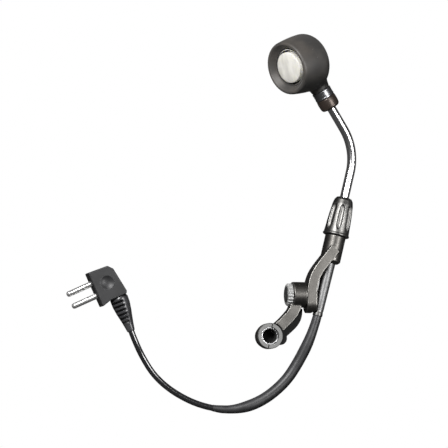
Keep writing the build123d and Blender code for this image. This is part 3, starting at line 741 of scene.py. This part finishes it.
class LAMP_OT_stage(bpy.types.Operator):
    """Add the camera, the pale floor and the studio lights"""

    bl_idname = "lamp.stage"
    bl_label = "Stage"

    def execute(self, context):
        right = CAMERA_RIGHT.normalized()
        up = (CAMERA_UP - right * CAMERA_UP.dot(right)).normalized()
        back = right.cross(up)
        data = bpy.data.cameras.new("Camera")
        data.sensor_width = SENSOR
        data.lens = SENSOR * CAMERA_BACK / VIEW_WIDTH
        data.clip_end = 20
        camera = bpy.data.objects.new("Camera", data)
        context.scene.collection.objects.link(camera)
        turn = Matrix((right, up, back)).transposed().to_4x4()
        camera.matrix_world = Matrix.Translation(CAMERA_TARGET + back * CAMERA_BACK) @ turn
        context.scene.camera = camera

        mesh = bpy.data.meshes.new("Floor")
        signs = [(-1, -1), (1, -1), (1, 1), (-1, 1)]
        corners = [(x * FLOOR_REACH, y * FLOOR_REACH, -FLOOR_DROP) for x, y in signs]
        mesh.from_pydata(corners, [], [(0, 1, 2, 3)])
        floor = bpy.data.objects.new("Floor", mesh)
        context.scene.collection.objects.link(floor)
        floor.visible_glossy = False
        floor.visible_diffuse = False
        paper = bpy.data.materials.new("Paper")
        paper.use_nodes = True
        shader = paper.node_tree.nodes["Principled BSDF"]
        shader.inputs["Base Color"].default_value = (0.0, 0.0, 0.0, 1)
        shader.inputs["Specular IOR Level"].default_value = 0.0
        shader.inputs["Emission Color"].default_value = (1, 1, 1, 1)
        shader.inputs["Emission Strength"].default_value = 1.0
        mesh.materials.append(paper)

        world = bpy.data.worlds.new("Studio")
        world.use_nodes = True
        sky = world.node_tree.nodes["Background"]
        sky.inputs["Color"].default_value = (1, 1, 1, 1)
        sky.inputs["Strength"].default_value = SKY_STRENGTH
        context.scene.world = world
        context.scene.view_settings.view_transform = "Standard"
        studio_light("Key", (-0.42, 0.5, 0.76), 0.38, 12)
        strip = studio_light("Strip", (0.54, 0.07, 0.88), 0.4, 7)
        strip.visible_diffuse = False
        return {"FINISHED"}


# ------------------------------------------------------------------ cord and plug
class LAMP_OT_cord(bpy.types.Operator):
    """Add the cord, its thicker sleeve, the slotted boot, the plug and its pins"""

    bl_idname = "lamp.cord"
    bl_label = "Cord and plug"

    def execute(self, context):
        cord = self.cord_line(sizes().cord_diameter / 2 * MM)
        path = self.line_points()
        sleeve = self.sleeve(path)
        boot = self.boot()
        plug = self.plug()
        dress_nodes([("plug_face", "plug")])
        pins = [self.pin(1), self.pin(2)]
        settle(cord, "cord", "boom", "cord")
        return {"FINISHED"}

    def cord_line(self, bevel, name="Cord"):
        """The route as one smooth open curve."""
        curve = bpy.data.curves.new(name, "CURVE")
        curve.dimensions = "3D"
        line = curve.splines.new("NURBS")
        line.points.add(len(CORD_ROUTE) - 1)
        for point, spot in zip(line.points, CORD_ROUTE):
            point.co = (*(Vector(spot) * MM), 1)
        line.order_u = 3
        line.use_endpoint_u = True
        curve.resolution_u = 16
        curve.bevel_depth = bevel
        curve.bevel_resolution = 6
        curve.use_fill_caps = bevel > 0
        piece = bpy.data.objects.new(name, curve)
        bpy.context.scene.collection.objects.link(piece)
        return piece

    def line_points(self):
        """Points along the route's own curve."""
        bare = self.cord_line(0.0, "Route")
        bpy.context.view_layer.update()
        evaluated = bare.evaluated_get(bpy.context.evaluated_depsgraph_get())
        mesh = bpy.data.meshes.new_from_object(evaluated)
        points = [vertex.co.copy() for vertex in mesh.vertices]
        bpy.data.objects.remove(bare)
        bpy.data.meshes.remove(mesh)
        return points

    def sleeve(self, path):
        """Soft sleeve: it swells from the ferrule, holds its width and tapers onto the cord."""
        full = sizes().sleeve_radius
        whole = sizes().sleeve_length
        steps = [(0, 2.9), (3, 3.0), (25, full)]
        steps += [(whole - 27, full), (whole - 8, 2.6), (whole, 2.12)]
        spots, radii, gone = [], [], 0.0
        for a, b in zip(path, path[1:]):
            if gone > whole:
                break
            for (t0, r0), (t1, r1) in zip(steps, steps[1:]):
                if t0 <= gone <= t1:
                    share = (gone - t0) / (t1 - t0)
                    ease = share * share * (3 - 2 * share)
                    radius = r0 + (r1 - r0) * ease
            spots.append(a)
            radii.append(radius * MM)
            gone += (b - a).length / MM
        piece = swept("Cord_sleeve", spots, radii)
        return settle(piece, "sleeve", "boom", "cord_sleeve")

    def boot(self):
        """Tapered boot with slots across its outer side."""
        outline = [(0, -1.0), (5.2, -1.0), (5.95, 0.8), (5.85, 5.0), (5.05, 10.0), (3.95, 15.0)]
        outline += [(3.25, 18.5), (2.6, BOOT_LENGTH - 0.2)]
        outline += [(2.3, BOOT_LENGTH + 0.5), (0, BOOT_LENGTH + 0.5)]
        mesh = turned_mesh("Boot", dense(rounded(outline, 0.6), 0.12), sides=96)
        piece = put("Boot", mesh)
        slots = sizes().boot_slots
        start, end = BOOT_SLOTS
        values = {"Count": slots, "Start": start, "Pitch": (end - start) / slots}
        values |= {"Core Radius": 2.75, "Facing": math.radians(BOOT_SLOTS_FACING)}
        values |= {"Material": finish("boot")}
        shaped_by(piece, slot_tree(), values)
        piece.data.transform(BOOT)
        piece.data.shade_smooth()
        return settle(piece, "boot", "boom", "plug_boot")

    def plug(self):
        """Right-angle moulding with soft edges and a thumb dish."""
        piece = moulded("Plug", "plug_body", 0.22, 6)
        return settle(piece, "plug", "boom", "plug_body")

    def pin(self, number):
        """Round pin with a small shoulder and a domed tip."""
        along = PINS_ALONG[number - 1]
        root = PLUG_CORNER + PLUG_ALONG * along + UP * PLUG_THICK / 2
        place = place_at(root, UP, -PLUG_BACK)
        outline = [(0, -4), (1.5, -4), (1.5, 0.05), (2.1, 0.05), (2.1, 0.5), (1.8, 0.7)]
        outline += [(1.8, 15.9), (1.45, 16.8), (0.8, 17.2), (0, 17.2)]
        piece = turned(f"Pin_{number}", place, outline, sides=64, edge=0.25)
        return settle(piece, "pins", "boom", f"plug_pin_{number}")


# ------------------------------------------------------------------ head
class LAMP_OT_head(bpy.types.Operator):
    """Add the rubber hood, the lens with its gasket and bezel, and dress what is behind them"""

    bl_idname = "lamp.head"
    bl_label = "Lamp head"

    def execute(self, context):
        hood = moulded("Hood", "hood", 0.35, 24)
        settle(hood, "hood_rubber", "head", "hood")
        outline = [(0, 5.0), (11.2, 5.0), (11.2, 5.9), (10.2, 6.0), (10.2, LENS_SHOULDER)]
        angles = [math.radians(a) for a in range(9, 90, 9)]
        dome = [(10.1 * math.cos(a), LENS_SHOULDER + LENS_RISE * math.sin(a)) for a in angles]
        outline += [*dome, (0, LENS_SHOULDER + LENS_RISE)]
        lens = turned("Lens", HEAD, outline, sides=128, edge=0.25)
        settle(lens, "lens", "head", "lens")
        seal_outline = [(9.95, 6.02), (11.3, 6.02), (11.3, 6.5), (9.95, 6.5)]
        seal = turned("Lens_seal", HEAD, seal_outline, sides=128, closed=True, edge=0.15)
        settle(seal, "gasket", "head", "lens_gasket")
        bezel_outline = [(11.3, 7.65), (12.5, 7.65), (12.5, 9.4), (12.1, 9.8), (11.4, 9.3)]
        bezel = turned("Bezel", HEAD, bezel_outline, sides=128, closed=True, edge=0.2)
        settle(bezel, "bezel", "head", "lens_ring")
        inside = [("lamp_cup", "lamp_aluminium"), ("heat_plate", "lamp_aluminium")]
        inside += [("lamp_board", "board"), ("board_screws", "fixings"), ("reflector", "reflector")]
        inside += [("light_source", "light_dome"), ("neck_core", "lamp_aluminium")]
        dress_nodes(inside)
        return {"FINISHED"}


class LAMP_OT_neck(bpy.types.Operator):
    """Add the neck collar and the end cap"""

    bl_idname = "lamp.neck"
    bl_label = "Neck"

    def execute(self, context):
        outline = [(4.65, 21.1), (6.1, 21.1), (6.55, 21.4), (6.55, 22.3), (6.45, 22.5)]
        outline += [(6.45, 25.5), (6.55, 25.7), (6.55, 26.45), (6.2, 26.75), (4.65, 26.75)]
        collar = turned("Collar", NECK, outline, closed=True, edge=0.12)
        settle(collar, "collar", "head", "neck_collar")
        outline = [(3.05, 28.0), (4.8, 28.0), (4.8, 26.9), (6.3, 26.9), (6.55, 27.3), (6.7, 29.2)]
        outline += [(6.65, 31.5), (6.4, 33.4), (5.7, 34.4), (4.4, 34.7), (3.5, 34.4), (3.05, 33.8)]
        cap = turned("End_cap", NECK, outline, closed=True, edge=0.6)
        settle(cap, "cap", "boom", "end_cap")
        dress_nodes([("swivel_washer", "washer"), ("pivot_clip", "fixings")])
        return {"FINISHED"}


# ------------------------------------------------------------------ tube
class LAMP_OT_tube(bpy.types.Operator):
    """Add the bent tube with the ferrule and the satin sleeve at its foot"""

    bl_idname = "lamp.tube"
    bl_label = "Tube"

    def execute(self, context):
        path = self.bent_path()
        radius = sizes().tube_radius * MM
        tube = swept("Tube", path, [radius] * len(path), sides=72)
        settle(tube, "tube", "boom", "tube")
        outline = [(1.25, 0), (2.9, 0), (3.25, 0.3), (3.25, 2.0), (3.1, 2.5), (3.05, 3.4)]
        outline += [(1.25, 3.4)]
        ferrule = turned("Ferrule", TUBE, outline, closed=True, edge=0.12)
        settle(ferrule, "nut", "boom", "tube_ferrule")
        outline = [(3.05, 3.5), (3.2, 3.5), (3.25, 3.8), (3.95, 35.4), (3.9, 35.7), (3.05, 35.7)]
        lower = turned("Tube_sleeve", TUBE, outline, closed=True, edge=0.1)
        settle(lower, "tube_satin", "boom", "tube_sleeve")
        dress_nodes([("lead_core", "lead")])
        return {"FINISHED"}

    def bent_path(self):
        """Points along the tube: a straight run, one bend and a straight run."""
        start = TUBE_FOOT + TUBE_WAY * 1.2
        end = NECK_START + NECK_WAY * TUBE_TOP
        out_way = -NECK_WAY
        half = TUBE_WAY.angle(out_way) / 2
        tangent = TUBE_BEND * math.tan(half)
        bend_start = CORNER - TUBE_WAY * tangent
        inward = (out_way - TUBE_WAY * out_way.dot(TUBE_WAY)).normalized()
        middle = bend_start + inward * TUBE_BEND
        points = [start.lerp(bend_start, k / BEND_STEPS) for k in range(BEND_STEPS)]
        for k in range(BEND_STEPS + 1):
            angle = 2 * half * k / BEND_STEPS
            back = inward * TUBE_BEND * math.cos(angle)
            points.append(middle - back + TUBE_WAY * TUBE_BEND * math.sin(angle))
        bend_end = CORNER + out_way * tangent
        points += [bend_end.lerp(end, k / END_STEPS) for k in range(1, END_STEPS + 1)]
        return [point * MM for point in points]


# ------------------------------------------------------------------ lock nut, bracket and knob
class LAMP_OT_lock_nut(bpy.types.Operator):
    """Add the fluted lock nut and dress the collet and the thrust ring"""

    bl_idname = "lamp.lock_nut"
    bl_label = "Lock nut"

    def execute(self, context):
        outer = [(8.15, 54.2), (8.75, 54.6), (8.75, 55.4), (8.3, 56.0), (8.2, 58.0), (8.0, 64.0)]
        outer += [(7.55, 70.0), (6.75, 75.5), (6.1, 78.2), (5.0, 79.8), (3.9, 80.15), (3.4, 79.8)]
        inner = [(3.4, 77.5), (4.1, 77.5), (4.85, 70.0), (4.85, 66.6), (5.45, 66.6), (5.45, 54.6)]
        outline = rounded([*outer, *inner, (5.8, 54.2)], 0.5, closed=True)
        outline = dense(outline + outline[:1], 0.3)[:-1]
        mesh = turned_mesh("Lock_nut", outline, sides=384, closed=True)
        nut = put("Lock_nut", mesh)
        values = {"Count": sizes().flutes, "Half Width": 1.95, "Middle": 66.2, "Half Length": 8.6}
        values |= {"Depth": sizes().flute_depth, "Least Radius": 6.0, "Material": finish("nut")}
        shaped_by(nut, flute_tree(), values)
        nut.data.transform(TUBE @ Matrix.Rotation(math.radians(NUT_TURN), 4, "Z"))
        settle(nut, "nut", "lock_nut_body", "lock_nut")
        dress_nodes([("collet", "collet"), ("thrust_ring", "washer")])
        return {"FINISHED"}


class LAMP_OT_bracket(bpy.types.Operator):
    """Add the cast bracket"""

    bl_idname = "lamp.bracket"
    bl_label = "Bracket"

    def execute(self, context):
        bracket = moulded("Bracket", "bracket", 0.28, 8)
        settle(bracket, "cast_metal", "bracket_body", "bracket")
        return {"FINISHED"}


class LAMP_OT_knob(bpy.types.Operator):
    """Add the ribbed knob with its cap and dress the pivot screw and the washer"""

    bl_idname = "lamp.knob"
    bl_label = "Knob"

    def execute(self, context):
        outline = [(2.55, 12.0), (5.3, 12.0), (5.3, 11.4), (6.6, 11.4), (7.4, 12.2), (7.4, 14.9)]
        outline = rounded([*outline, (2.55, 14.9)], 0.25, closed=True)
        outline = dense(outline + outline[:1], 0.25)[:-1]
        mesh = turned_mesh("Knob", outline, sides=320, closed=True)
        knob = put("Knob", mesh)
        values = {"Count": sizes().knob_ribs, "Half Width": 0.75, "Middle": 13.2}
        values |= {"Half Length": 3.0, "Depth": 0.5, "Least Radius": 6.3, "Material": finish("knob")}
        shaped_by(knob, flute_tree(), values)
        knob.data.transform(KNUCKLE)
        settle(knob, "knob", "knob_body", "knob")
        outline = [(0, 11.95), (5.2, 11.95), (5.2, 11.3), (4.5, 10.9), (1.6, 10.8), (1.3, 11.1)]
        outline += [(0, 11.1)]
        cap = turned("Knob_cap", KNUCKLE, outline, edge=0.2)
        settle(cap, "liner", "knob_body", "knob_cap")
        dress_nodes([("pivot_screw", "fixings"), ("knob_washer", "washer")])
        return {"FINISHED"}


# ------------------------------------------------------------------ clamp
class LAMP_OT_clamp(bpy.types.Operator):
    """Add the link arm, its back plate and the toothed grip ring, and dress the two liners"""

    bl_idname = "lamp.clamp"
    bl_label = "Clamp"

    def execute(self, context):
        arm = moulded("Link_arm", "link_arm", 0.28, 8)
        settle(arm, "cast_metal", "clamp", "link_arm")
        # The back plate is dressed near black, so that it also stands for painted shade along the
        # link's lower side.
        back = moulded("Link_back", "link_back", 0.3, 6)
        settle(back, "dark_plate", "clamp", "link_back")
        rows = [("clamp_liner_left", "liner"), ("clamp_liner_right", "liner")]
        rows += [("link_screws", "fixings"), ("friction_washer", "washer"), ("bore_pad", "gasket")]
        dress_nodes(rows)
        self.grip_ring()
        return {"FINISHED"}

    def grip_ring(self):
        """Thin ring with teeth that point at the bore's axis."""
        outline = rounded([(5.1, 10.25), (5.6, 10.25), (5.6, 11.4), (5.1, 11.4)], 0.1, closed=True)
        ring = put("Grip_ring", turned_mesh("Grip_ring", outline, closed=True))
        tooth_mesh = turned_mesh("Tooth", [(0, -0.5), (0.3, -0.4), (0.3, 0.4), (0, 0.5)], sides=12)
        tooth = put("Tooth", tooth_mesh)
        values = {"Count": sizes().grip_teeth, "Reach": 5.1, "Height": 10.85}
        shaped_by(tooth, around_tree(), values | {"Material": finish("fixings")})
        both = bmesh.new()
        both.from_mesh(ring.data)
        both.from_mesh(tooth.data)
        both.to_mesh(ring.data)
        both.free()
        bpy.data.objects.remove(tooth)
        ring.data.transform(RING)
        settle(ring, "fixings", "clamp", "grip_ring")


# ------------------------------------------------------------------ panel and registration
OPERATORS = [
    LAMP_OT_stage,
    LAMP_OT_cord,
    LAMP_OT_head,
    LAMP_OT_neck,
    LAMP_OT_tube,
    LAMP_OT_lock_nut,
    LAMP_OT_bracket,
    LAMP_OT_knob,
    LAMP_OT_clamp,
]


class LAMP_PT_panel(bpy.types.Panel):
    """Sidebar panel that lists the lamp's sizes, colours and steps"""

    bl_idname = "LAMP_PT_panel"
    bl_label = "Examination lamp"
    bl_space_type = "VIEW_3D"
    bl_region_type = "UI"
    bl_category = "Lamp"

    def draw(self, context):
        for group in (context.scene.lamp_sizes, context.scene.lamp_colours):
            box = self.layout.box()
            for key in group.__annotations__:
                box.prop(group, key)
        for operator in OPERATORS:
            self.layout.operator(operator.bl_idname)


CLASSES = [LampSizes, LampColours, *OPERATORS, LAMP_PT_panel]


def register():
    """Register the classes and hang the two property groups on the scene."""
    for item in CLASSES:
        bpy.utils.register_class(item)
    bpy.types.Scene.lamp_sizes = bpy.props.PointerProperty(type=LampSizes)
    bpy.types.Scene.lamp_colours = bpy.props.PointerProperty(type=LampColours)


def unregister():
    """Take the property groups and the classes away again."""
    del bpy.types.Scene.lamp_colours
    del bpy.types.Scene.lamp_sizes
    for item in reversed(CLASSES):
        bpy.utils.unregister_class(item)


def main():
    """Make every piece in order."""
    register()
    for operator in OPERATORS:
        space, name = operator.bl_idname.split(".")
        getattr(getattr(bpy.ops, space), name)()


if __name__ == "__main__":
    main()
